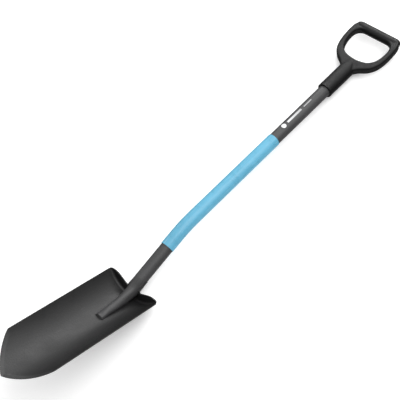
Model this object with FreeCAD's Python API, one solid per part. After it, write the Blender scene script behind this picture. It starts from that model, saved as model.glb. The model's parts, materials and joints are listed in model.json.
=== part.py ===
import FreeCAD, Part
import math
import os
from FreeCAD import Vector

# Pointed garden spade, all-steel blade and bent tube shaft, lying on its back.
# Everything is drawn first in the blade's own frame: X runs from the tip to the
# handle, Y across, Z out of the digging face.  lay_down() then leans the whole
# spade back until the heel of the blade and the handle both touch the floor.

# Length within which two places count as the same, and half the span used to measure slopes
CLOSE = 0.05
SLOPE_REACH = 0.5

# Blade, millimetres
BLADE_LENGTH = 360.0
BLADE_HALF_WIDTH = 71.0
SIDE_HEIGHT = 22.5
SHEET = 2.2
POINT_LENGTH = 74.0
FLOOR_START = 12.0
FLOOR_STEPS = 8
BLOCK_DEPTH = 120.0
BLOCK_DEEPER = 10.0
DISH_AT_TIP = 22.5
DISH_AT_NOSE = 35.5
DISH_NOSE_X = 262.0
DISH_POWER = 2.5
SIDE_OVERRUN = 1.12
CUTTER_ROOM = 40.0
OGIVE_STEPS = 12
POINT_FLARE = 0.65
POINT_ROUND = 1.6
TREAD_STEPS = 6
BEVEL_STEPS = 12
BEVEL_START = 0.02
ACROSS_STEPS = 21
TREAD_BEND = 5.5
TREAD_CORNER = 8.5
TREAD_TOP_CENTRE = 6.0
TREAD_TOP_SIDE = 23.0
TREAD_TOP_REACH = 56.0
TREAD_TOP_POWER = 1.3
BEVEL_WIDTH = 8.5
BEVEL_EDGE = 0.7
BEVEL_OVERRUN = 0.35

# Shaft
TUBE_RADIUS = 15.0
TUBE_WALL = 1.5
BEND_X = 505.0
BEND_Z = 112.0
LOWER_ANGLE = 35.0
UPPER_ANGLE = 21.6
BEND_RADIUS = 250.0
ROUND_START = 152.0
TUBE_TOP = 569.0
SLEEVE_LOW = 61.0
SLEEVE_HIGH = 306.0
SLEEVE_WALL = 1.2
LOFT_STEP = 0.05
LOFT_LEAD = 4.0

# Neck of the blade, a flared half socket behind the tube
NECK_FLARE = 7.0
NECK_LENGTH = 48.0
NECK_WALL = 2.2
NECK_END_WALL = 0.8
NECK_BACK = 196.0
NECK_LIP = -1.5
NECK_ROOT_HEIGHT = 5.0

# Flattened tongue: station X, half width, top height over the floor, roundness
TONGUE_NOSE_X = 262.0
TROUGH_TRIM_END = 350.0
TONGUE_TILT = 13.0
TONGUE_SINK = 1.5
TONGUE_POINTS = 24
TONGUE_HOLLOW_SECTIONS = 3
TROUGH_SIZE = 60.0
TONGUE_SECTIONS = (
    (364.0, 14.2, 36.5, 2.0),
    (350.0, 13.0, 29.5, 1.85),
    (328.0, 11.6, 21.5, 1.65),
    (300.0, 10.4, 14.5, 1.6),
    (276.0, 9.4, 9.5, 1.65),
    (262.0, 8.6, 6.5, 1.9),
)

# Printed mark on the tube: distances along the shaft and half widths
MARK_FILM = 0.2
MARK_DISC_AT = 344.0
MARK_DISC_RADIUS = 6.2
MARK_BARS = ((358.0, 408.0, 2.8), (418.0, 446.0, 1.6))

# Welds
WELD_RADIUS = 3.0
WELD_LAST_X = 340.0
NECK_WELD_RADIUS = 1.2
NECK_WELD_OUT = 0.3

# Handle
COLLAR_START = 497.0
COLLAR_LENGTH = 84.0
COLLAR_RADIUS = 19.4
HANDLE_ANGLE = 28.0
HANDLE_DEPTH = 22.0
HANDLE_ROUND = 5.0
HANDLE_OUTER = (
    (-8.0, 0.0), (-5.0, 10.0), (3.0, 19.0), (12.0, 28.0), (20.0, 40.0),
    (30.0, 51.0), (43.0, 59.0), (60.0, 64.0), (80.0, 66.5), (100.0, 67.0),
    (118.0, 66.0), (130.0, 62.0), (136.0, 53.0), (137.5, 40.0), (137.5, 20.0), (137.5, 0.0),
)
HANDLE_INNER = (
    (34.0, 0.0), (35.5, 15.0), (39.0, 29.0), (46.5, 40.0), (57.5, 47.3),
    (73.0, 52.0), (90.0, 53.5), (104.0, 52.0), (114.0, 46.0), (119.0, 36.0),
    (120.0, 20.0), (120.0, 0.0),
)
BAR_CENTRE = 130.0
BAR_RADIUS = 12.8
BAR_HALF = 61.0
BAR_END_RADIUS = 8.5
BAR_SHOULDER = 1.0
THROAT_LENGTH = 31.0
THROAT_END_RADIUS = 10.4
THROAT_STEP = 0.1
THROAT_STEPS = 6
SCREW_OFFSET = 26.0
SCREW_SINK = 0.4
SCREW_HEAD_RADIUS = 4.2
SCREW_HEAD_DEPTH = 2.6
SCREW_SHANK_RADIUS = 2.2
SCREW_LENGTH = 13.0
RECESS_LENGTH = 4.6
RECESS_WIDTH = 0.9
RECESS_DEPTH = 1.2

# Rest
REST_LEAN = 24.894
REST_CENTRE_X = 646.83
REST_FLOOR_Z = -12.2


def unit(angle):
    """Direction in the X-Z plane at an angle above the X axis."""
    turn = math.radians(angle)
    return Vector(math.cos(turn), 0.0, math.sin(turn))


def floor_height(x):
    """Height of the digging face on the blade's centre line."""
    share = min(max(x / DISH_NOSE_X, 0.0), 1.0)
    swell = math.sin(share * math.pi / 2.0)
    dish = DISH_AT_TIP + (DISH_AT_NOSE - DISH_AT_TIP) * swell
    return SIDE_HEIGHT - dish


def face_height(x, y):
    """Height of the digging face anywhere: flat in the middle, steep at the sides."""
    across = abs(y) / BLADE_HALF_WIDTH
    low = floor_height(x)
    return low + (SIDE_HEIGHT - low) * across ** DISH_POWER


def across_curve(x, drop):
    """The blade's cross-section at one station, drop below the digging face."""
    reach = BLADE_HALF_WIDTH * SIDE_OVERRUN
    points = []
    for step in range(ACROSS_STEPS):
        y = reach * (2.0 * step / (ACROSS_STEPS - 1) - 1.0)
        rise = face_height(x, y + SLOPE_REACH) - face_height(x, y - SLOPE_REACH)
        slope = rise / (2.0 * SLOPE_REACH)
        stretch = math.hypot(1.0, slope)
        height = face_height(x, y) - drop / stretch
        points.append(Vector(x, y + drop * slope / stretch, height))
    curve = Part.BSplineCurve()
    curve.interpolate(points)
    return Part.Wire([curve.toShape()])


def behind_face(drop):
    """Everything behind the blade's sheet: below the floor and beyond the tread."""
    end = BLADE_LENGTH + drop
    run = end + FLOOR_START
    wires = []
    for step in range(FLOOR_STEPS + 1):
        x = -FLOOR_START + run * step / FLOOR_STEPS
        wires.append(across_curve(x, drop))
    floor = Part.makeLoft(wires, False, False)
    depth = BLOCK_DEPTH + BLOCK_DEEPER * drop
    below = floor.Faces[0].extrude(Vector(0.0, 0.0, -depth))
    width = 2.0 * (BLADE_HALF_WIDTH * SIDE_OVERRUN + SHEET)
    beyond = Part.makeBox(BLOCK_DEPTH, width, BLOCK_DEPTH + depth,
                          Vector(end, -width / 2.0, -depth))
    block = below.fuse(beyond).removeSplitter()
    seam = [edge for edge in block.Edges if is_heel_seam(edge, end)]
    return block.makeFillet(TREAD_BEND + drop, seam)


def is_heel_seam(edge, end):
    """True for the edge where floor and tread meet."""
    box = edge.BoundBox
    at_end = box.XLength < CLOSE and abs(box.XMin - end) < CLOSE
    return at_end and box.YLength > BLADE_HALF_WIDTH and box.ZLength > SHEET


def plan_outline():
    """The blade's outline seen from above: pointed tip, straight sides, round heels."""
    left = []
    for step in range(OGIVE_STEPS + 1):
        share = step / OGIVE_STEPS
        left.append(Vector(POINT_LENGTH * (1.0 - share), half_width(1.0 - share), 0.0))
    right = [Vector(point.x, -point.y, 0.0) for point in reversed(left)]
    corner = BLADE_LENGTH + SHEET - TREAD_CORNER
    wide = BLADE_HALF_WIDTH
    end = BLADE_LENGTH + CUTTER_ROOM
    bow = TREAD_CORNER * math.sqrt(0.5)
    inner = wide - TREAD_CORNER
    edges = [
        smooth_edge(left),
        smooth_edge(right),
        Part.makeLine(Vector(POINT_LENGTH, -wide, 0), Vector(corner, -wide, 0)),
        Part.Arc(Vector(corner, -wide, 0), Vector(corner + bow, -inner - bow, 0),
                 Vector(corner + TREAD_CORNER, -inner, 0)).toShape(),
        Part.makeLine(Vector(corner + TREAD_CORNER, -inner, 0), Vector(end, -inner, 0)),
        Part.makeLine(Vector(end, -inner, 0), Vector(end, inner, 0)),
        Part.makeLine(Vector(end, inner, 0), Vector(corner + TREAD_CORNER, inner, 0)),
        Part.Arc(Vector(corner + TREAD_CORNER, inner, 0),
                 Vector(corner + bow, inner + bow, 0), Vector(corner, wide, 0)).toShape(),
        Part.makeLine(Vector(corner, wide, 0), Vector(POINT_LENGTH, wide, 0)),
    ]
    wire = Part.Wire(Part.__sortEdges__(edges))
    face = Part.Face(wire)
    face.translate(Vector(0.0, 0.0, -BLOCK_DEPTH))
    return face.extrude(Vector(0.0, 0.0, 2.0 * BLOCK_DEPTH))


def half_width(share):
    """Half the blade's width along the point, share 0 at the tip and 1 at the side."""
    flare = share ** POINT_FLARE
    round_off = 1.0 - (1.0 - share) ** POINT_ROUND
    return BLADE_HALF_WIDTH * (flare + round_off) / 2.0


def smooth_edge(points):
    """One smooth edge through a run of points."""
    curve = Part.BSplineCurve()
    curve.interpolate(points)
    return curve.toShape()


def tread_top_cutter():
    """Everything above the treads' top edge, which dips towards the shaft."""
    points = []
    for step in range(-TREAD_STEPS, TREAD_STEPS + 1):
        y = TREAD_TOP_REACH * step / TREAD_STEPS
        swell = (1.0 - math.cos(math.pi * abs(y) / TREAD_TOP_REACH)) / 2.0
        height = TREAD_TOP_CENTRE + (TREAD_TOP_SIDE - TREAD_TOP_CENTRE) * swell ** TREAD_TOP_POWER
        points.append(Vector(0.0, y, height))
    wide = BLADE_HALF_WIDTH * SIDE_OVERRUN + CUTTER_ROOM
    side = TREAD_TOP_SIDE
    high = BLOCK_DEPTH
    corners = [
        Vector(0, wide, side),
        Vector(0, wide, high),
        Vector(0, -wide, high),
        Vector(0, -wide, side),
    ]
    edges = [smooth_edge(points), Part.makeLine(points[-1], corners[0])]
    for index in range(3):
        edges.append(Part.makeLine(corners[index], corners[index + 1]))
    edges.append(Part.makeLine(corners[3], points[0]))
    face = Part.Face(Part.Wire(Part.__sortEdges__(edges)))
    face.translate(Vector(BLADE_LENGTH - TREAD_BEND, 0.0, 0.0))
    return face.extrude(Vector(CUTTER_ROOM, 0.0, 0.0))


def bevel_cutter(side):
    """The wedge ground off the digging face along one edge of the point."""
    rows = []
    for step in range(BEVEL_STEPS + 1):
        share = BEVEL_START + (1.0 - BEVEL_START) * step / BEVEL_STEPS
        x = POINT_LENGTH * share
        y = half_width(share)
        far = min(share + BEVEL_START / 2.0, 1.0)
        near = far - BEVEL_START
        slope = (half_width(far) - half_width(near)) / (BEVEL_START * POINT_LENGTH)
        inward = Vector(slope, -1.0, 0.0)
        inward.normalize()
        row = []
        for reach in (1.0, 0.0, -BEVEL_OVERRUN):
            place = Vector(x, y, 0.0) + inward * (BEVEL_WIDTH * reach)
            drop = (SHEET - BEVEL_EDGE) * (1.0 - reach)
            height = face_height(max(place.x, 0.0), place.y) - drop
            row.append(Vector(place.x, side * place.y, height))
        rows.append(row)
    lines = [smooth_edge([row[column] for row in rows]) for column in range(3)]
    inner = Part.makeRuledSurface(lines[0], lines[1])
    outer = Part.makeRuledSurface(lines[1], lines[2])
    lift = Vector(0.0, 0.0, CUTTER_ROOM)
    return inner.extrude(lift).fuse(outer.extrude(lift))


def shaft_frame(distance):
    """Point and direction on the shaft's axis; distance is measured from the bend's corner."""
    corner = Vector(BEND_X, 0.0, BEND_Z)
    if distance < 0.0:
        return corner + unit(LOWER_ANGLE) * distance, unit(LOWER_ANGLE)
    return corner + unit(UPPER_ANGLE) * distance, unit(UPPER_ANGLE)


def shaft_path(start, end):
    """The shaft's axis from one distance to another, rounded at the bend."""
    turn = math.radians(LOWER_ANGLE - UPPER_ANGLE)
    tangent = BEND_RADIUS * math.tan(turn / 2.0)
    low, _ = shaft_frame(start)
    high, _ = shaft_frame(end)
    begin, _ = shaft_frame(-tangent)
    finish, _ = shaft_frame(tangent)
    corner = Vector(BEND_X, 0.0, BEND_Z)
    inward = (begin + finish) * 0.5 - corner
    inward.normalize()
    sag = BEND_RADIUS / math.cos(turn / 2.0) - BEND_RADIUS
    middle = corner + inward * sag
    edges = [
        Part.makeLine(low, begin),
        Part.Arc(begin, middle, finish).toShape(),
        Part.makeLine(finish, high),
    ]
    return Part.Wire(edges)


def pipe_along(start, end, radius):
    """A round bar that follows the shaft's axis."""
    centre, heading = shaft_frame(start)
    ring = Part.Wire([Part.makeCircle(radius, centre, heading)])
    return shaft_path(start, end).makePipeShell([ring], True, True)


def tongue_wire(centre, tilt, half_width_here, half_height, power):
    """One closed section of the flattened shaft end, upright or leaning by tilt."""
    up = unit(tilt + 90.0)
    points = []
    for step in range(TONGUE_POINTS):
        turn = 2.0 * math.pi * step / TONGUE_POINTS
        c = math.cos(turn)
        d = math.sin(turn)
        y = half_width_here * math.copysign(abs(c) ** (2.0 / power), c)
        z = half_height * math.copysign(abs(d) ** (2.0 / power), d)
        points.append(centre + Vector(0.0, y, 0.0) + up * z)
    curve = Part.BSplineCurve()
    curve.interpolate(points, True)
    return Part.Wire([curve.toShape()])


def tongue_loft(shrink, count):
    """The shaft end flattened onto the blade; shrink gives the hollow inside."""
    round_radius = TUBE_RADIUS - LOFT_STEP - shrink
    wires = []
    for distance in (-ROUND_START + LOFT_LEAD, -ROUND_START):
        start, _ = shaft_frame(distance)
        wires.append(tongue_wire(start, LOWER_ANGLE, round_radius, round_radius, 2.0))
    for x, wide, height, power in TONGUE_SECTIONS[:count]:
        base = floor_height(x)
        share = (x - TONGUE_NOSE_X) / (BLADE_LENGTH - TONGUE_NOSE_X)
        tilt = TONGUE_TILT + (LOWER_ANGLE - TONGUE_TILT) * share * share
        half = min(height / 2.0 - shrink, TUBE_RADIUS - shrink)
        if shrink == 0.0:
            half = min(half + TONGUE_SINK, TUBE_RADIUS)
        centre = Vector(x, 0.0, base + height - shrink - half)
        wires.append(tongue_wire(centre, tilt, wide - shrink, half, power))
    return Part.makeLoft(wires, True, False)


def above_neck(centre):
    """Everything in front of the neck's lips, beside and above the tube."""
    size = BLOCK_DEPTH
    lid = Part.makeBox(2.0 * size, 2.0 * size, size, Vector(-size, -size, 0.0))
    lid.rotate(Vector(0, 0, 0), Vector(0, 1, 0), -LOWER_ANGLE)
    lid.translate(centre - unit(LOWER_ANGLE + 90.0) * NECK_LIP)
    return lid


def neck_body():
    """The neck's outside before trimming, thinning towards its end."""
    centre, heading = shaft_frame(-NECK_BACK)
    low = TUBE_RADIUS + NECK_WALL
    high = TUBE_RADIUS + NECK_END_WALL
    return Part.makeCone(low, high, NECK_LENGTH, centre, heading)


def neck_cradle():
    """Half socket that carries the tube behind the treads."""
    centre, _ = shaft_frame(-NECK_BACK)
    size = BLOCK_DEPTH
    length = BLADE_LENGTH + SHEET / 2.0
    inside = Part.makeBox(length, 2.0 * size, 2.0 * size, Vector(0, -size, -size))
    return neck_body().cut(above_neck(centre)).cut(inside)


def is_neck_root(edge):
    """True for the two curved edges where the neck leaves the back of the treads."""
    box = edge.BoundBox
    back = BLADE_LENGTH + SHEET
    flat = abs(box.XMin - back) < CLOSE and abs(box.XMax - back) < CLOSE
    one_side = NECK_ROOT_HEIGHT < box.YLength < 2.0 * TUBE_RADIUS
    return flat and one_side and box.ZLength > NECK_ROOT_HEIGHT


def shaft_outside():
    """The full outside of the shaft, round part and flattened end together."""
    round_part = pipe_along(-ROUND_START, TUBE_TOP, TUBE_RADIUS)
    return round_part.fuse(tongue_loft(0.0, len(TONGUE_SECTIONS)))


def shaft_on_face(ground):
    """The outside of the shaft, trimmed to sit on the digging face."""
    return shaft_outside().cut(ground.common(trough_box()))


def blade(shaft, ground):
    """Pressed steel blade with forward-turned treads and the neck behind the tube."""
    sheet = ground.cut(behind_face(SHEET))
    sheet = sheet.common(plan_outline()).cut(tread_top_cutter())
    for side in (1, -1):
        sheet = sheet.cut(bevel_cutter(side))
    whole = sheet.fuse(neck_cradle()).removeSplitter()
    roots = [edge for edge in whole.Edges if is_neck_root(edge)]
    whole = whole.makeFillet(NECK_FLARE, roots)
    return whole.cut(shaft)


def shaft_tube(shaft):
    """Bent steel tube with its lower end flattened onto the blade."""
    hollow = pipe_along(-ROUND_START, TUBE_TOP + 1.0, TUBE_RADIUS - TUBE_WALL)
    hollow = hollow.fuse(tongue_loft(TUBE_WALL, TONGUE_HOLLOW_SECTIONS))
    return shaft.cut(hollow).cut(screw_pocket())


def seam_half_width(x):
    """Half the tongue's width where it meets the digging face."""
    stations = sorted(TONGUE_SECTIONS)
    low = stations[0]
    high = stations[-1]
    for first, second in zip(stations, stations[1:]):
        if first[0] <= x <= second[0]:
            low = first
            high = second
    share = min(max((x - low[0]) / (high[0] - low[0]), 0.0), 1.0)
    wide, height, power = (low[i] + (high[i] - low[i]) * share for i in (1, 2, 3))
    half = min(height / 2.0 + TONGUE_SINK, TUBE_RADIUS)
    down = (height - half) / half
    return wide * (1.0 - down ** power) ** (1.0 / power)


def tongue_weld(shaft, ground):
    """One bead that runs round the flattened end, up one side and down the other."""
    places = []
    for x, side in ((WELD_LAST_X, 1), (TONGUE_NOSE_X, 1), (TONGUE_NOSE_X, -1), (WELD_LAST_X, -1)):
        y = side * seam_half_width(x)
        places.append(Vector(x, y, face_height(x, y)))
    bead = Part.makeSphere(WELD_RADIUS, places[0])
    for first, second in zip(places, places[1:]):
        run = second - first
        bead = bead.fuse(Part.makeCylinder(WELD_RADIUS, run.Length, first, run))
        bead = bead.fuse(Part.makeSphere(WELD_RADIUS, second))
    return bead.cut(ground).cut(shaft)


def neck_weld():
    """Bead round the end of the neck, on the back of the tube."""
    centre, heading = shaft_frame(-NECK_BACK + NECK_LENGTH)
    ring = Part.makeTorus(TUBE_RADIUS + NECK_WELD_OUT, NECK_WELD_RADIUS, centre, heading)
    reach = 2.0 * NECK_WELD_RADIUS
    start = centre - heading * reach
    tube = Part.makeCylinder(TUBE_RADIUS, 2.0 * reach, start, heading)
    return ring.cut(above_neck(centre)).cut(tube).cut(neck_body())


def trough_box():
    """The space of the blade's trough, used to trim what lies on its face."""
    half = TROUGH_SIZE / 2.0
    corner = Vector(TONGUE_NOSE_X - half, -half, -TROUGH_SIZE)
    return Part.makeBox(TROUGH_TRIM_END - corner.x, TROUGH_SIZE, TROUGH_SIZE, corner)


def shaft_sleeve():
    """Coloured plastic sleeve shrunk over the middle of the tube."""
    outer = pipe_along(-SLEEVE_LOW, SLEEVE_HIGH, TUBE_RADIUS + SLEEVE_WALL)
    return outer.cut(pipe_along(-ROUND_START, TUBE_TOP, TUBE_RADIUS))


def printed_mark():
    """Plain printed mark on the front of the tube: a disc, a long bar and a short bar."""
    up = unit(UPPER_ANGLE + 90.0)
    disc_centre, heading = shaft_frame(MARK_DISC_AT)
    stamp = Part.makeCylinder(MARK_DISC_RADIUS, 2.0 * TUBE_RADIUS, disc_centre, up)
    for start, end, half in MARK_BARS:
        low, _ = shaft_frame(start)
        block = Part.makeBox(end - start, 2.0 * half, 2.0 * TUBE_RADIUS, Vector(0, -half, 0))
        block.rotate(Vector(0, 0, 0), Vector(0, 1, 0), -UPPER_ANGLE)
        block.translate(low)
        stamp = stamp.fuse(block)
    first, _ = shaft_frame(SLEEVE_HIGH)
    length = COLLAR_START - SLEEVE_HIGH
    film = Part.makeCylinder(TUBE_RADIUS + MARK_FILM, length, first, heading)
    film = film.cut(Part.makeCylinder(TUBE_RADIUS, length, first, heading))
    return film.common(stamp)


def handle_point(along, across, rise):
    """A place in the handle's own plane: along its axis, across, and out of the plane."""
    root, _ = shaft_frame(COLLAR_START + COLLAR_LENGTH)
    in_plane = unit(HANDLE_ANGLE) * along + Vector(0, across, 0)
    return root + in_plane + unit(HANDLE_ANGLE + 90.0) * rise


def mirrored_outline(points):
    """A smooth closed outline from the points of one side."""
    base = -HANDLE_DEPTH / 2.0
    loop = [handle_point(along, across, base) for along, across in points]
    for along, across in reversed(points):
        if across > 0.0:
            loop.append(handle_point(along, -across, base))
    curve = Part.BSplineCurve()
    curve.interpolate(loop, True)
    return Part.Face(Part.Wire([curve.toShape()]))


def handle_frame():
    """The two arms and the lower bow of the D."""
    thick = unit(HANDLE_ANGLE + 90.0) * HANDLE_DEPTH
    outside = mirrored_outline(HANDLE_OUTER).extrude(thick)
    inside = mirrored_outline(HANDLE_INNER).extrude(thick)
    return outside.cut(inside)


def grip_bar():
    """The round bar across the D, drawn in at both ends to meet the arms."""
    centre = handle_point(BAR_CENTRE, 0.0, 0.0)
    ahead = unit(HANDLE_ANGLE)
    profile = (
        (-1.0, BAR_END_RADIUS),
        (-0.9, BAR_RADIUS - BAR_SHOULDER),
        (-0.7, BAR_RADIUS),
        (0.0, BAR_RADIUS),
        (0.7, BAR_RADIUS),
        (0.9, BAR_RADIUS - BAR_SHOULDER),
        (1.0, BAR_END_RADIUS),
    )
    outline = []
    for share, radius in profile:
        outline.append(centre + Vector(0, share * BAR_HALF, 0) + ahead * radius)
    left = centre - Vector(0, BAR_HALF, 0)
    right = centre + Vector(0, BAR_HALF, 0)
    edges = [
        smooth_edge(outline),
        Part.makeLine(outline[-1], right),
        Part.makeLine(right, left),
        Part.makeLine(left, outline[0]),
    ]
    return Part.Face(Part.Wire(edges)).revolve(centre, Vector(0, 1, 0), 360.0)


def handle_throat():
    """The neck of the handle, flowing from the collar into the lower bow."""
    outline = []
    for step in range(THROAT_STEPS + 1):
        share = step / THROAT_STEPS
        swell = (1.0 + math.cos(math.pi * share)) / 2.0
        wide = COLLAR_RADIUS - THROAT_STEP - THROAT_END_RADIUS
        radius = THROAT_END_RADIUS + wide * swell
        outline.append(handle_point(THROAT_LENGTH * share, 0.0, radius))
    root = handle_point(0.0, 0.0, 0.0)
    tip = handle_point(THROAT_LENGTH, 0.0, 0.0)
    edges = [
        smooth_edge(outline),
        Part.makeLine(outline[-1], tip),
        Part.makeLine(tip, root),
        Part.makeLine(root, outline[0]),
    ]
    return Part.Face(Part.Wire(edges)).revolve(root, unit(HANDLE_ANGLE), 360.0)


def handle():
    """Moulded D-handle with its collar over the end of the tube."""
    frame = handle_frame()
    rims = []
    up = unit(HANDLE_ANGLE + 90.0)
    for edge in frame.Edges:
        rise = (edge.CenterOfMass - handle_point(0.0, 0.0, 0.0)).dot(up)
        if abs(abs(rise) - HANDLE_DEPTH / 2.0) < CLOSE:
            rims.append(edge)
    frame = frame.makeFillet(HANDLE_ROUND, rims)
    start, heading = shaft_frame(COLLAR_START)
    end, _ = shaft_frame(COLLAR_START + COLLAR_LENGTH)
    collar = Part.makeCylinder(COLLAR_RADIUS, COLLAR_LENGTH, start, heading)
    elbow = Part.makeSphere(COLLAR_RADIUS, end)
    body = collar.fuse(elbow).fuse(handle_throat()).fuse(frame).fuse(grip_bar())
    bore = Part.makeCylinder(TUBE_RADIUS, TUBE_TOP - COLLAR_START, start, heading)
    return body.cut(bore).cut(screw_pocket())


def screw_axis():
    """Seat of the handle screw on the back of the collar, and its direction inwards."""
    centre, _ = shaft_frame(COLLAR_START + SCREW_OFFSET)
    inward = unit(UPPER_ANGLE + 90.0)
    return centre - inward * COLLAR_RADIUS, inward


def screw_pocket():
    """Room for the screw in the collar."""
    seat, inward = screw_axis()
    mouth = seat - inward * SCREW_HEAD_DEPTH
    depth = 2.0 * SCREW_HEAD_DEPTH + SCREW_SINK
    head = Part.makeCylinder(SCREW_HEAD_RADIUS, depth, mouth, inward)
    return head.fuse(Part.makeCylinder(SCREW_SHANK_RADIUS, SCREW_LENGTH, seat, inward))


def handle_screw():
    """Flush screw with a cross recess that holds the handle on the tube."""
    seat, inward = screw_axis()
    top = seat + inward * SCREW_SINK
    head = Part.makeCylinder(SCREW_HEAD_RADIUS, SCREW_HEAD_DEPTH, top, inward)
    shank = Part.makeCylinder(SCREW_SHANK_RADIUS, SCREW_LENGTH - SCREW_SINK, top, inward)
    screw = head.fuse(shank)
    for long, wide in ((RECESS_LENGTH, RECESS_WIDTH), (RECESS_WIDTH, RECESS_LENGTH)):
        corner = Vector(-long / 2.0, -wide / 2.0, -RECESS_DEPTH)
        slot = Part.makeBox(long, wide, 2.0 * RECESS_DEPTH, corner)
        slot.rotate(Vector(0, 0, 0), Vector(0, 1, 0), -UPPER_ANGLE)
        slot.translate(top)
        screw = screw.cut(slot)
    return screw


def lay_down(shape):
    """Lean a piece back with the whole spade, about the blade's heel."""
    laid = shape.copy()
    laid.rotate(Vector(BLADE_LENGTH, 0, 0), Vector(0, 1, 0), REST_LEAN)
    laid.translate(Vector(-REST_CENTRE_X, 0.0, -REST_FLOOR_Z))
    return laid


def main():
    """Build every piece, lay it down and write it as its own file."""
    os.makedirs("parts", exist_ok=True)
    ground = behind_face(0.0)
    shaft = shaft_on_face(ground)
    pieces = {
        "blade": blade(shaft, ground),
        "shaft_tube": shaft_tube(shaft),
        "tongue_weld": tongue_weld(shaft, ground),
        "neck_weld": neck_weld(),
        "shaft_sleeve": shaft_sleeve(),
        "printed_mark": printed_mark(),
        "handle": handle(),
        "handle_screw": handle_screw(),
    }
    for name, shape in pieces.items():
        laid = lay_down(shape)
        print(name, laid.isValid(), len(laid.Solids), round(laid.Volume / 1000.0, 2))
        laid.exportStep(os.path.join("parts", name + ".step"))


main()
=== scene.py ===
import json
import math

import bpy
from mathutils import Matrix, Vector

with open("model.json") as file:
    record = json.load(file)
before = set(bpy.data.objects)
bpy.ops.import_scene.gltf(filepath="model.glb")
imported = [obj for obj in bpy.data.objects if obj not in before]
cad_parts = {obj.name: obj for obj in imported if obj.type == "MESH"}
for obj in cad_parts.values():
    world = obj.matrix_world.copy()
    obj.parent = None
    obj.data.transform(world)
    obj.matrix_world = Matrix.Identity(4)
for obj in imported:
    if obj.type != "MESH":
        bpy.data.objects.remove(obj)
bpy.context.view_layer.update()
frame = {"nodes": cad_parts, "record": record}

NODES = frame["nodes"]
RECORD = frame["record"]
BASE = {m["slot"]: list(m["base_color"])[:3] for m in RECORD["materials"]}

# How the pieces lie, in metres and radians: the blade leans back from its tip, the
# shaft rises to its bend and falls beyond it, and the D rises from its collar
BLADE_TIP = (-0.6134, 0.0, 0.1637)
BLADE_LEAN = math.radians(24.9)
SHAFT_BEND = (-0.1082, 0.0, 0.0528)
LOWER_RISE = math.radians(10.1)
UPPER_RISE = math.radians(-3.3)
MARK_START = 0.240
MARK_END = 0.315
HANDLE_ROOT = (0.4719, 0.0, 0.0194)
HANDLE_RISE = math.radians(3.1)

# The sharpened point, as on the CAD blade
POINT_LENGTH = 0.074
POINT_FLARE = 0.65
POINT_ROUND = 1.6
BLADE_HALF = 0.071
BEVEL_WIDTH = 0.0085

# Edges, rubbed on the steel and the grip and painted in shade on the sleeve: rays per rounded normal,
# and how far it leans where the edge mark starts and is full
BEVEL_SAMPLES = 6
EDGE_STARTS = 0.96
EDGE_FULL = 0.72

# How the recorded colours are toned under the studio's lights
BLADE_TONE = 0.45
TUBE_TONE = 1.1
HANDLE_TONE = 0.25
RUBBED_GREY = (0.10, 0.10, 0.10)
SCUFFED_BLUE = (0.62, 0.78, 0.86)
DUST = (0.75, 0.85, 0.90)

# Studio
FLOOR_HALF = 60.0
FLOOR_GLOW = 0.25
WALL_GLOW = 0.95
KEY_AT = (0.6, -0.9, 2.3)
KEY_AIM = (0.0, 0.0, 0.0)
KEY_SIZE = (2.4, 2.4)
KEY_WATTS = 40.0
RIM_AT = (2.2, 0.8, 1.15)
RIM_AIM = (-0.3, 0.0, 0.08)
RIM_SIZE = (2.0, 0.8)
RIM_WATTS = 29.0


# ---------------------------------------------------------------- materials

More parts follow.
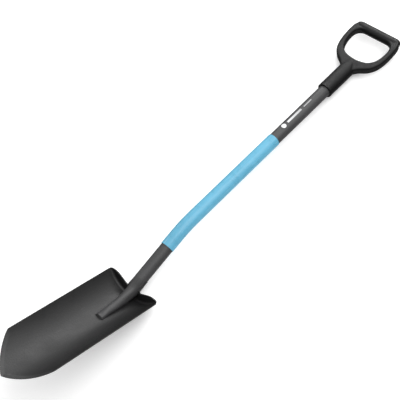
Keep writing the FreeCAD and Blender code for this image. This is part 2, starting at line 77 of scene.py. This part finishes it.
class Painter:
    """Builds one node material in a few short calls; places are in metres, scales per metre."""

    def __init__(self, name):
        self.material = bpy.data.materials.new(name)
        self.material.use_nodes = True
        self.tree = self.material.node_tree
        self.shader = self.tree.nodes["Principled BSDF"]
        self.place = self.node("ShaderNodeTexCoord").outputs["Object"]

    def node(self, kind, **settings):
        made = self.tree.nodes.new(kind)
        for key, value in settings.items():
            setattr(made, key, value)
        return made

    def link(self, source, target):
        self.tree.links.new(source, target)

    def feed(self, target, value):
        if isinstance(value, bpy.types.NodeSocket):
            self.link(value, target)
        else:
            target.default_value = value

    def own_axes(self, origin, lean):
        """Places measured from a piece's own origin, X along the piece."""
        mapping = self.node("ShaderNodeMapping", vector_type="TEXTURE")
        mapping.inputs["Location"].default_value = origin
        mapping.inputs["Rotation"].default_value = (0.0, lean, 0.0)
        self.link(self.place, mapping.inputs["Vector"])
        return mapping.outputs["Vector"]

    def scaled(self, where, scale):
        """Squeezes places before a noise, so that it draws long streaks."""
        made = self.node("ShaderNodeVectorMath", operation="MULTIPLY")
        self.link(where, made.inputs[0])
        made.inputs[1].default_value = scale
        return made.outputs["Vector"]

    def split(self, where):
        made = self.node("ShaderNodeSeparateXYZ")
        self.link(where, made.inputs["Vector"])
        return made.outputs["X"], made.outputs["Y"], made.outputs["Z"]

    def joined(self, x, y, z):
        made = self.node("ShaderNodeCombineXYZ")
        for socket, value in zip(made.inputs, (x, y, z)):
            self.feed(socket, value)
        return made.outputs["Vector"]

    def noise(self, scale, detail=3.0, rough=0.55, where=None, distort=0.0):
        made = self.node("ShaderNodeTexNoise")
        made.inputs["Scale"].default_value = scale
        made.inputs["Detail"].default_value = detail
        made.inputs["Roughness"].default_value = rough
        made.inputs["Distortion"].default_value = distort
        self.link(where or self.place, made.inputs["Vector"])
        return made.outputs["Fac"]

    def cells(self, scale):
        made = self.node("ShaderNodeTexVoronoi", feature="F1")
        made.inputs["Scale"].default_value = scale
        self.link(self.place, made.inputs["Vector"])
        return made.outputs["Distance"]

    def math(self, operation, first, second=0.0, third=0.0):
        made = self.node("ShaderNodeMath", operation=operation)
        self.feed(made.inputs[0], first)
        self.feed(made.inputs[1], second)
        self.feed(made.inputs[2], third)
        return made.outputs[0]

    def ramp(self, value, low, high, to_low=0.0, to_high=1.0):
        made = self.node("ShaderNodeMapRange", clamp=True)
        self.feed(made.inputs["Value"], value)
        made.inputs["From Min"].default_value = low
        made.inputs["From Max"].default_value = high
        made.inputs["To Min"].default_value = to_low
        made.inputs["To Max"].default_value = to_high
        return made.outputs["Result"]

    def mix(self, share, first, second):
        made = self.node("ShaderNodeMix", data_type="RGBA")
        self.feed(made.inputs["Factor"], share)
        colours = [socket for socket in made.inputs if socket.type == "RGBA"]
        for socket, value in zip(colours, (first, second)):
            linked = isinstance(value, bpy.types.NodeSocket)
            self.feed(socket, value if linked else (*value[:3], 1.0))
        return [socket for socket in made.outputs if socket.type == "RGBA"][0]

    def bump(self, height, depth, under=None):
        made = self.node("ShaderNodeBump")
        made.inputs["Strength"].default_value = 1.0
        made.inputs["Distance"].default_value = depth
        self.link(height, made.inputs["Height"])
        if under is not None:
            self.link(under, made.inputs["Normal"])
        return made.outputs["Normal"]

    def edges(self, radius):
        """1 on a convex edge, 0 on a flat: how far the rounded normal leans."""
        bevel = self.node("ShaderNodeBevel", samples=BEVEL_SAMPLES)
        bevel.inputs["Radius"].default_value = radius
        geometry = self.node("ShaderNodeNewGeometry")
        dot = self.node("ShaderNodeVectorMath", operation="DOT_PRODUCT")
        self.link(bevel.outputs["Normal"], dot.inputs[0])
        self.link(geometry.outputs["Normal"], dot.inputs[1])
        return self.ramp(dot.outputs["Value"], EDGE_STARTS, EDGE_FULL)

    def done(self, colour, roughness, normal, metallic=0.0, specular=0.5):
        self.feed(self.shader.inputs["Base Color"], colour)
        self.feed(self.shader.inputs["Roughness"], roughness)
        self.link(normal, self.shader.inputs["Normal"])
        self.shader.inputs["Metallic"].default_value = metallic
        self.shader.inputs["Specular IOR Level"].default_value = specular
        return self.material


def shade(colour, factor):
    """A lighter or darker colour."""
    return [min(1.0, channel * factor) for channel in colour]


def along_blade(p):
    """The blade's own axes: X from the tip to the heel, Z out of its face."""
    return p.own_axes(BLADE_TIP, BLADE_LEAN)


def along_handle(p):
    """The D's own axes: X from the collar to the grip bar, Z out of its plane."""
    return p.own_axes(HANDLE_ROOT, -HANDLE_RISE)


def along_shaft(p):
    """X along the shaft; Y and Z from the middle of the tube, on both sides of the bend."""
    x, y, z = p.split(p.place)
    ahead = p.math("SUBTRACT", x, SHAFT_BEND[0])
    low = p.math("MULTIPLY", p.math("MINIMUM", ahead, 0.0), math.tan(LOWER_RISE))
    high = p.math("MULTIPLY", p.math("MAXIMUM", ahead, 0.0), math.tan(UPPER_RISE))
    middle = p.math("ADD", p.math("ADD", low, high), SHAFT_BEND[2])
    return p.joined(x, y, p.math("SUBTRACT", z, middle))


def ground_band_with_painted_highlight(p, own):
    """1 on the ground bevel that follows both edges of the point, 0 elsewhere."""
    x, y, _ = p.split(own)
    share = p.ramp(x, 0.0, POINT_LENGTH)
    flare = p.math("POWER", share, POINT_FLARE)
    back = p.math("POWER", p.math("SUBTRACT", 1.0, share), POINT_ROUND)
    wide = p.math("MULTIPLY", p.math("ADD", flare, p.math("SUBTRACT", 1.0, back)), BLADE_HALF / 2.0)
    inside = p.math("SUBTRACT", wide, p.math("ABSOLUTE", y))
    lean = p.ramp(share, 0.0, 1.0, 0.45, 0.85)
    band = p.ramp(p.math("MULTIPLY", inside, lean), BEVEL_WIDTH, BEVEL_WIDTH * 0.85)
    return p.math("MULTIPLY", band, p.ramp(x, POINT_LENGTH * 1.02, POINT_LENGTH * 0.94))


def coated_steel(name, colour, where, grain, wear, band_with_highlight=None):
    """Powder-coated steel: orange peel, drag marks along the piece, rubbed and chipped edges, and a
    lighter ground band on the point that is partly a painted highlight.
    """
    p = Painter(name)
    own = where(p)
    fine = p.noise(grain, 2.0, 0.5)
    peel = p.noise(grain * 0.36, 2.0, 0.45)
    cloud = p.noise(11.0, 4.0, 0.6, distort=0.5)
    drag = p.noise(1.0, 5.0, 0.7, p.scaled(own, (12.0, 420.0, 420.0)))
    hair = p.noise(1.0, 2.0, 0.5, p.scaled(own, (7.0, 820.0, 820.0)))
    tone = p.math("ADD", p.ramp(cloud, 0.3, 0.7, 0.0, 0.6), p.ramp(drag, 0.40, 0.72, 0.0, 0.4))
    body = p.mix(tone, shade(colour, 0.76), shade(colour, 1.28))
    speck = p.ramp(p.noise(grain * 0.55, 1.0, 0.5), 0.60, 0.70)
    body = p.mix(p.math("MULTIPLY", speck, 0.40), body, shade(colour, 1.9))
    patch = p.ramp(p.noise(34.0, 3.0, 0.6), 0.50, 0.62)
    scratch = p.math("MULTIPLY", p.ramp(hair, 0.66, 0.72), patch)
    body = p.mix(p.math("MULTIPLY", scratch, 0.5), body, shade(colour, 2.6))
    chips = p.ramp(p.noise(170.0, 4.0, 0.65), 0.44, 0.58)
    rub = p.math("MULTIPLY", p.edges(0.0014), p.ramp(chips, 0.0, 1.0, 0.35, 1.0))
    body = p.mix(p.math("MULTIPLY", rub, wear), body, RUBBED_GREY)
    rough = p.math("ADD", p.ramp(cloud, 0.3, 0.7, 0.38, 0.52), p.ramp(drag, 0.3, 0.7, -0.05, 0.05))
    rough = p.math("SUBTRACT", rough, p.math("MULTIPLY", scratch, 0.1))
    if band_with_highlight is not None:
        # The ground bevel round the point is painted lighter: partly ground steel, partly a painted
        # highlight along the point's edges
        band = band_with_highlight(p, own)
        strokes = p.noise(1.0, 4.0, 0.7, p.scaled(own, (90.0, 90.0, 900.0)))
        lit = p.ramp(strokes, 0.3, 0.7, 0.35, 0.75)
        body = p.mix(p.math("MULTIPLY", band, lit), body, shade(colour, 3.2))
        rough = p.math("SUBTRACT", rough, p.math("MULTIPLY", band, 0.06))
    normal = p.bump(peel, 0.00024)
    normal = p.bump(fine, 0.00010, normal)
    normal = p.bump(scratch, 0.00006, normal)
    return p.done(body, rough, normal, 0.0, 0.5)


def weld_bead(name, colour):
    """Coated weld: overlapping ripples under the same paint."""
    p = Painter(name)
    ripple = p.node("ShaderNodeTexWave", wave_type="BANDS", bands_direction="X")
    ripple.inputs["Scale"].default_value = 115.0
    ripple.inputs["Distortion"].default_value = 3.5
    ripple.inputs["Detail"].default_value = 2.0
    p.link(p.place, ripple.inputs["Vector"])
    height = ripple.outputs["Fac"]
    fine = p.noise(1100.0, 2.0, 0.5)
    body = p.mix(p.ramp(height, 0.2, 0.9), shade(colour, 0.75), shade(colour, 1.25))
    normal = p.bump(height, 0.0006)
    normal = p.bump(fine, 0.00005, normal)
    return p.done(body, p.ramp(fine, 0.3, 0.7, 0.40, 0.52), normal)


def sleeve_plastic(name, colour):
    """Shrunk vinyl sleeve: soft satin, slow mottling, draw lines, fine scuffs along the shaft, and
    painted shade along its edges.
    """
    p = Painter(name)
    own = along_shaft(p)
    mottle = p.noise(30.0, 3.0, 0.55, distort=0.8)
    lines = p.noise(1.0, 3.0, 0.6, p.scaled(own, (9.0, 560.0, 560.0)))
    fine = p.noise(1500.0, 2.0, 0.5)
    tone = p.math("ADD", p.ramp(mottle, 0.3, 0.7, 0.0, 0.6), p.ramp(lines, 0.35, 0.7, 0.0, 0.4))
    body = p.mix(tone, shade(colour, 0.90), shade(colour, 1.09))
    hair = p.noise(1.0, 2.0, 0.5, p.scaled(own, (14.0, 760.0, 760.0)))
    patch = p.ramp(p.noise(42.0, 2.0, 0.6), 0.5, 0.62)
    scuff = p.math("MULTIPLY", p.ramp(hair, 0.64, 0.71), patch)
    body = p.mix(p.math("MULTIPLY", scuff, 0.4), body, SCUFFED_BLUE)
    dust = p.ramp(p.noise(260.0, 3.0, 0.7), 0.62, 0.8)
    body = p.mix(p.math("MULTIPLY", dust, 0.14), body, DUST)
    # Painted shade: the sleeve's colour is darker along its convex edges
    rim = p.math("MULTIPLY", p.edges(0.0010), 0.5)
    body = p.mix(rim, body, shade(colour, 0.65))
    rough = p.math("ADD", p.ramp(mottle, 0.3, 0.7, 0.24, 0.38), p.ramp(fine, 0.3, 0.7, -0.04, 0.04))
    normal = p.bump(lines, 0.00012)
    normal = p.bump(mottle, 0.00040, normal)
    normal = p.bump(fine, 0.00003, normal)
    return p.done(body, rough, normal, 0.0, 0.5)


def moulded_plastic(name, colour):
    """Moulded grip: eroded grain, a parting line round the D, polished by the hand on the bar."""
    p = Painter(name)
    own = along_handle(p)
    x, _, z = p.split(own)
    grain = p.cells(900.0)
    fine = p.noise(2200.0, 2.0, 0.5)
    cloud = p.noise(24.0, 4.0, 0.6)
    body = p.mix(p.ramp(cloud, 0.3, 0.7), shade(colour, 0.7), shade(colour, 1.4))
    body = p.mix(p.ramp(grain, 0.25, 0.75, 0.0, 0.45), body, shade(colour, 2.0))
    nick = p.ramp(p.noise(320.0, 3.0, 0.7), 0.62, 0.70)
    body = p.mix(p.math("MULTIPLY", nick, 0.55), body, shade(colour, 3.4))
    rub = p.math("MULTIPLY", p.edges(0.0016), p.ramp(p.noise(120.0, 3.0, 0.6), 0.35, 0.6, 0.25, 0.6))
    body = p.mix(rub, body, shade(colour, 2.6))
    seam = p.math("MULTIPLY", p.ramp(p.math("ABSOLUTE", z), 0.00035, 0.00015), p.ramp(x, 0.0, 0.01))
    body = p.mix(p.math("MULTIPLY", seam, 0.45), body, shade(colour, 2.4))
    held = p.ramp(x, 0.105, 0.120)
    rough = p.math("SUBTRACT", p.ramp(cloud, 0.3, 0.7, 0.40, 0.54), p.math("MULTIPLY", held, 0.06))
    normal = p.bump(grain, 0.00030)
    normal = p.bump(fine, 0.00006, normal)
    normal = p.bump(seam, 0.00025, normal)
    return p.done(body, rough, normal, 0.0, 0.34)


def ink(name, colour):
    """Screen-printed ink: thin, slightly broken, and thinner towards the handle."""
    p = Painter(name)
    x, _, _ = p.split(along_shaft(p))
    worn = p.ramp(p.noise(900.0, 3.0, 0.7), 0.60, 0.74)
    cloud = p.noise(60.0, 3.0, 0.6)
    body = p.mix(p.ramp(cloud, 0.3, 0.7), shade(colour, 0.9), colour)
    body = p.mix(p.math("MULTIPLY", worn, 0.35), body, BASE["tube_coat"])
    body = p.mix(p.ramp(x, MARK_START, MARK_END, 0.05, 0.6), body, BASE["tube_coat"])
    normal = p.bump(p.noise(1400.0, 2.0, 0.5), 0.00003)
    return p.done(body, p.ramp(cloud, 0.3, 0.7, 0.45, 0.6), normal)


def plated_steel(name, colour):
    """Zinc-plated screw: turned rings and dulled plating."""
    p = Painter(name)
    fine = p.noise(1.0, 3.0, 0.6, p.scaled(p.place, (300.0, 2400.0, 2400.0)))
    cloud = p.noise(300.0, 3.0, 0.6)
    body = p.mix(p.ramp(cloud, 0.3, 0.7), shade(colour, 0.75), shade(colour, 1.15))
    normal = p.bump(fine, 0.00003)
    return p.done(body, p.ramp(cloud, 0.3, 0.7, 0.3, 0.48), normal, 1.0)


def paper_floor(name):
    """Plain pale studio floor with a very faint tooth."""
    p = Painter(name)
    tooth = p.noise(160.0, 3.0, 0.6)
    body = p.mix(p.ramp(tooth, 0.3, 0.7), (0.93, 0.93, 0.93), (0.95, 0.95, 0.95))
    p.shader.inputs["Emission Color"].default_value = (1.0, 1.0, 1.0, 1.0)
    p.shader.inputs["Emission Strength"].default_value = FLOOR_GLOW
    return p.done(body, 0.9, p.bump(tooth, 0.00004), 0.0, 0.1)


MATERIALS = {
    "blade": coated_steel("blade_look", shade(BASE["blade_coat"], BLADE_TONE), along_blade,
                          950.0, 0.6, ground_band_with_painted_highlight),
    "shaft_tube": coated_steel("tube_look", shade(BASE["tube_coat"], TUBE_TONE), along_shaft,
                               1000.0, 0.4),
    "shaft_sleeve": sleeve_plastic("sleeve_look", BASE["sleeve_plastic"]),
    "printed_mark": ink("ink_look", BASE["print_ink"]),
    "handle": moulded_plastic("handle_look", shade(BASE["handle_plastic"], HANDLE_TONE)),
    "handle_screw": plated_steel("screw_look", BASE["screw_steel"]),
}
weld_look = weld_bead("weld_look", BASE["weld_coat"])
MATERIALS["tongue_weld"] = weld_look
MATERIALS["neck_weld"] = weld_look

for node_name, material in MATERIALS.items():
    slots = NODES[node_name].material_slots
    if not slots:
        NODES[node_name].data.materials.append(material)
    for slot in slots:
        slot.material = material


# ---------------------------------------------------------------- studio

def area_light(name, place, target, size, watts):
    """A rectangular softbox at one place, aimed at another."""
    data = bpy.data.lights.new(name, "AREA")
    data.shape = "RECTANGLE"
    data.size, data.size_y = size
    data.energy = watts
    lamp = bpy.data.objects.new(name, data)
    lamp.location = place
    lamp.rotation_mode = "QUATERNION"
    lamp.rotation_quaternion = (Vector(target) - Vector(place)).to_track_quat("-Z", "Y")
    bpy.context.scene.collection.objects.link(lamp)


def studio_floor(size):
    """The pale floor that the spade lies on."""
    mesh = bpy.data.meshes.new("studio_floor")
    corners = [(-size, -size, 0.0), (size, -size, 0.0), (size, size, 0.0), (-size, size, 0.0)]
    mesh.from_pydata(corners, [], [(0, 1, 2, 3)])
    floor = bpy.data.objects.new("studio_floor", mesh)
    mesh.materials.append(paper_floor("floor_look"))
    bpy.context.scene.collection.objects.link(floor)
    return floor


floor = studio_floor(FLOOR_HALF)
# The floor lights the undersides softly, but no mirror of it shows in the satin coats
floor.visible_glossy = False

world = bpy.data.worlds.new("studio_world")
bpy.context.scene.world = world
world.use_nodes = True
sky = world.node_tree
background = sky.nodes["Background"]
background.inputs["Color"].default_value = (1.0, 1.0, 1.0, 1.0)
heading = sky.nodes.new("ShaderNodeTexCoord").outputs["Generated"]


def sky_ramp(toward, low, high, to_low, to_high):
    """The sky's strength along one direction: to_low behind it, to_high ahead of it."""
    dot = sky.nodes.new("ShaderNodeVectorMath")
    dot.operation = "DOT_PRODUCT"
    sky.links.new(heading, dot.inputs[0])
    dot.inputs[1].default_value = toward
    made = sky.nodes.new("ShaderNodeMapRange")
    made.interpolation_type = "SMOOTHSTEP"
    for name, value in (("From Min", low), ("From Max", high), ("To Min", to_low), ("To Max", to_high)):
        made.inputs[name].default_value = value
    sky.links.new(dot.outputs["Value"], made.inputs["Value"])
    return made.outputs["Result"]


# Brightest overhead, dark at the horizon, flagged off on the near side, and pale again
# straight below, where the undersides would mirror the floor
overhead = sky_ramp((0.0, 0.0, 1.0), -0.05, 0.6, 0.08, 0.95)
far_side = sky_ramp((0.75, 0.66, 0.0), -0.75, 0.35, 0.45, 1.05)
below = sky_ramp((0.0, 0.0, -1.0), 0.65, 0.98, 0.0, 0.6)
strength = sky.nodes.new("ShaderNodeMath")
strength.operation = "MULTIPLY_ADD"
for socket, value in zip(strength.inputs, (overhead, far_side, below)):
    sky.links.new(value, socket)
# The sky lights the spade unevenly, but is seen as one plain pale wall behind the floor
seen = sky.nodes.new("ShaderNodeMix")
sky.links.new(sky.nodes.new("ShaderNodeLightPath").outputs["Is Camera Ray"], seen.inputs["Factor"])
sky.links.new(strength.outputs[0], seen.inputs["A"])
seen.inputs["B"].default_value = WALL_GLOW
sky.links.new(seen.outputs["Result"], background.inputs["Strength"])

area_light("key", KEY_AT, KEY_AIM, KEY_SIZE, KEY_WATTS)
area_light("rim", RIM_AT, RIM_AIM, RIM_SIZE, RIM_WATTS)

scene = bpy.context.scene
scene.view_settings.view_transform = "Standard"
scene.view_settings.look = "None"
scene.view_settings.exposure = 0.0
scene.view_settings.gamma = 1.0


# ---------------------------------------------------------------- camera

# High above the blade's side, looking down along the spade
CAMERA_AT = Vector((-0.73926, -0.93606, 1.80799))
CAMERA_RIGHT = Vector((0.66067, -0.73808, -0.13693))
CAMERA_AHEAD = Vector((0.33159, 0.45058, -0.82887))
CAMERA_LENS = 85.5

camera_data = bpy.data.cameras.new("view_camera")
camera_data.lens = CAMERA_LENS
camera_data.sensor_width = 36.0
camera_data.clip_start = 0.05
camera_data.clip_end = 50.0
camera = bpy.data.objects.new("view_camera", camera_data)
ahead = CAMERA_AHEAD.normalized()
right = (CAMERA_RIGHT - ahead * CAMERA_RIGHT.dot(ahead)).normalized()
up = right.cross(ahead)
turn = Matrix((right, up, -ahead)).transposed()
camera.matrix_world = Matrix.Translation(CAMERA_AT) @ turn.to_4x4()
scene.collection.objects.link(camera)
scene.camera = camera


# ---------------------------------------------------------------- view layer update

bpy.context.view_layer.update()
